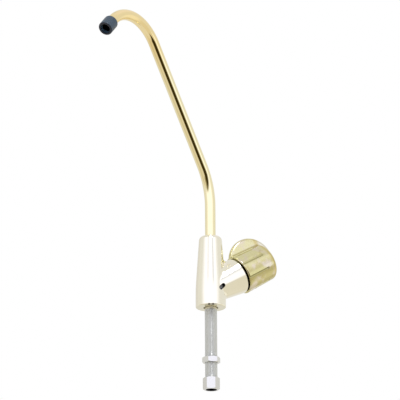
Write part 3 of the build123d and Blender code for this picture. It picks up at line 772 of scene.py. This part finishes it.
def spoutLine(distance):
    """Places and headings along the spout's centreline, at distances from its foot. The heading is the
    angle from upright: it grows evenly round each bend and holds between the bends.
    The place is the sum of the headings: forward by the sine, up by the cosine, for each small step."""
    marks, headings, length = spoutMarks()
    fine = np.linspace(0, length, spout["fine"])
    heading = np.interp(fine, marks, headings)
    step = fine[1]
    middle = (heading[1:] + heading[:-1]) / 2
    forward = np.concatenate(([0], np.cumsum(np.sin(middle)))) * step
    up = spout["foot"] + np.concatenate(([0], np.cumsum(np.cos(middle)))) * step
    return (np.interp(distance, fine, forward), np.interp(distance, fine, up),
            np.interp(distance, fine, heading))


def makeSpout():
    """A round section carried along the centreline, out along the outside and back along the bore,
    with a rounded lip at each end."""
    length = spoutMarks()[2]
    outer, half = spout["radius"], spout["wall"] / 2
    count = int(length / spout["step"])
    lip = np.linspace(0, np.pi, spout["lip"])[1:-1]
    along = np.concatenate((np.linspace(half, length - half, count), length - half + half * np.sin(lip),
                            np.linspace(length - half, half, count // 2), half - half * np.sin(lip)))
    radius = np.concatenate((np.full(count, outer), outer - half + half * np.cos(lip),
                             np.full(count // 2, outer - 2 * half), outer - half - half * np.cos(lip)))
    forward, up, heading = spoutLine(along)
    turn = roundTurns(spout["round"])
    side = radius[:, None] * np.sin(turn)
    rise = radius[:, None] * np.cos(turn)
    reach = forward[:, None] + rise * np.cos(heading)[:, None]
    swing = math.radians(spout["swing"])
    points = np.stack((side * math.cos(swing) + reach * math.sin(swing),
                       side * math.sin(swing) - reach * math.cos(swing),
                       up[:, None] - rise * np.sin(heading)[:, None]), -1)
    return surface("goldSpout", points, metals["gold"], spout["sharp"])


thread = {
    "radius": 5.55, "pitch": 1.0583, "depth": 0.3, "bore": 2.6, "top": 9.0, "end": -69.0,
    "startBelow": -0.4, "pocket": 3.35, "pocketDepth": 6.0, "chamfer": 0.6, "round": 72, "perPitch": 12,
    "lastRow": 0.05, "collar": 0.1, "pocketBevel": 0.8, "fade": 2, "sharp": 50.0,    # fade in pitches
}


def threadShape(phase):
    """Depth share of a thread along its pitch: a rounded crest and root, half of one less the cosine."""
    return (1 - np.cos(2 * np.pi * phase)) / 2


def makeStud():
    """A turned section, whose outside is cut by a helix: the depth at a height and a turn is the thread
    shape of height over pitch less the turn. It fades in at the top, and a chamfer ends it at the foot."""
    t = thread
    rows = int((t["startBelow"] - t["end"]) / t["pitch"] * t["perPitch"])
    turn = roundTurns(t["round"])[None, :]
    height = np.linspace(t["startBelow"], t["end"] + t["lastRow"], rows)[:, None]
    cut = t["depth"] * threadShape(height / t["pitch"] - turn / (2 * np.pi))
    cut = cut * np.clip((t["startBelow"] - height) / (t["fade"] * t["pitch"]), 0, 1)
    taper = t["radius"] - np.clip(t["end"] + t["chamfer"] - height, 0, None)
    outside = np.minimum(t["radius"] - cut, taper)
    ends = [(t["radius"] - t["chamfer"], t["end"]), (t["pocket"] + t["pocketBevel"], t["end"]),
            (t["pocket"], t["end"] + t["pocketBevel"]), (t["pocket"], t["end"] + t["pocketDepth"]),
            (t["bore"], t["end"] + t["pocketDepth"]), (t["bore"], t["top"]),
            (t["radius"] - t["chamfer"], t["top"]), (t["radius"], t["top"] - t["chamfer"]),
            (t["radius"], t["startBelow"] + t["collar"])]
    ends = np.array(ends)[:, :, None] * np.ones(t["round"])
    radius = np.concatenate((outside, ends[:, 0]))
    height = np.concatenate((height * np.ones_like(turn), ends[:, 1]))
    points = np.stack((radius * np.cos(turn), radius * np.sin(turn), height), -1)
    return surface("threadedStud", points, metals["zinc"], t["sharp"])


# Width across the flats, and the bore as (radius, height over the nut's foot) from the foot up
nuts = {
    "mounting_nut": {"width": 14.3, "top": -45.2, "height": 5.2, "turn": -13.0,
                     "inside": [(6.1, 0.0), (5.6, 0.5), (5.6, 4.7), (6.1, 5.2)]},
    "compression_nut": {"width": 13.2, "top": -63.7, "height": 10.8, "turn": -27.0,
                        "inside": [(4.95, 0.0), (4.95, 2.4), (3.35, 2.4), (3.35, 3.4), (5.6, 5.2),
                                   (5.6, 10.8)]},
}
hexShape = {"softness": 46, "flat": 0.97, "chamferAngle": 30.0, "round": 240, "coneRows": 5, "sideRows": 5,
            "sharp": 20.0}


def makeNut(name, values):
    """A hexagon whose corners are turned down. Its reach at a turn is the half width over the n-th root of
    the sum of the six facing cosines to the power n, where n is the softness: that leaves the corners a
    little round. At each turn the chamfer starts from the end flat and climbs at its angle until it meets
    the hexagon."""
    turn = roundTurns(hexShape["round"])
    faces = np.radians(np.arange(6) * 60)[:, None]
    facing = np.clip(np.cos(turn - faces), 0, 1) ** hexShape["softness"]
    reach = values["width"] / 2 / facing.sum(0) ** (1 / hexShape["softness"])
    flat = hexShape["flat"] * values["width"] / 2
    drop = (reach - flat) * math.tan(math.radians(hexShape["chamferAngle"]))
    rise = np.linspace(0, 1, hexShape["coneRows"])[:, None]
    cone = flat + (reach - flat) * rise
    tall = values["height"]
    low = drop * rise
    side = drop + (tall - 2 * drop) * np.linspace(0, 1, hexShape["sideRows"] + 2)[1:-1, None]
    inside = np.array(values["inside"])[:, :, None] * np.ones(hexShape["round"])
    radius = np.concatenate((cone, reach * np.ones_like(side), cone[::-1], inside[::-1, 0]))
    height = np.concatenate((low, side, tall - low[::-1], inside[::-1, 1]))
    spin = turn + math.radians(values["turn"])
    points = np.stack((radius * np.cos(spin), radius * np.sin(spin), height + values["top"] - tall), -1)
    return surface(name, points[::-1], metals["brightZinc"], hexShape["sharp"])


goldSpout = makeSpout()
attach(goldSpout, "spout")
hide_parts("spout_tube")
print("spout made")

threadedStud = makeStud()
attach(threadedStud, "tap_body")
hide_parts("stud")

for name, values in nuts.items():
    softNut = makeNut("soft_" + name, values)
    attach(softNut, name)
    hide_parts(name)
print("stud and nuts made")
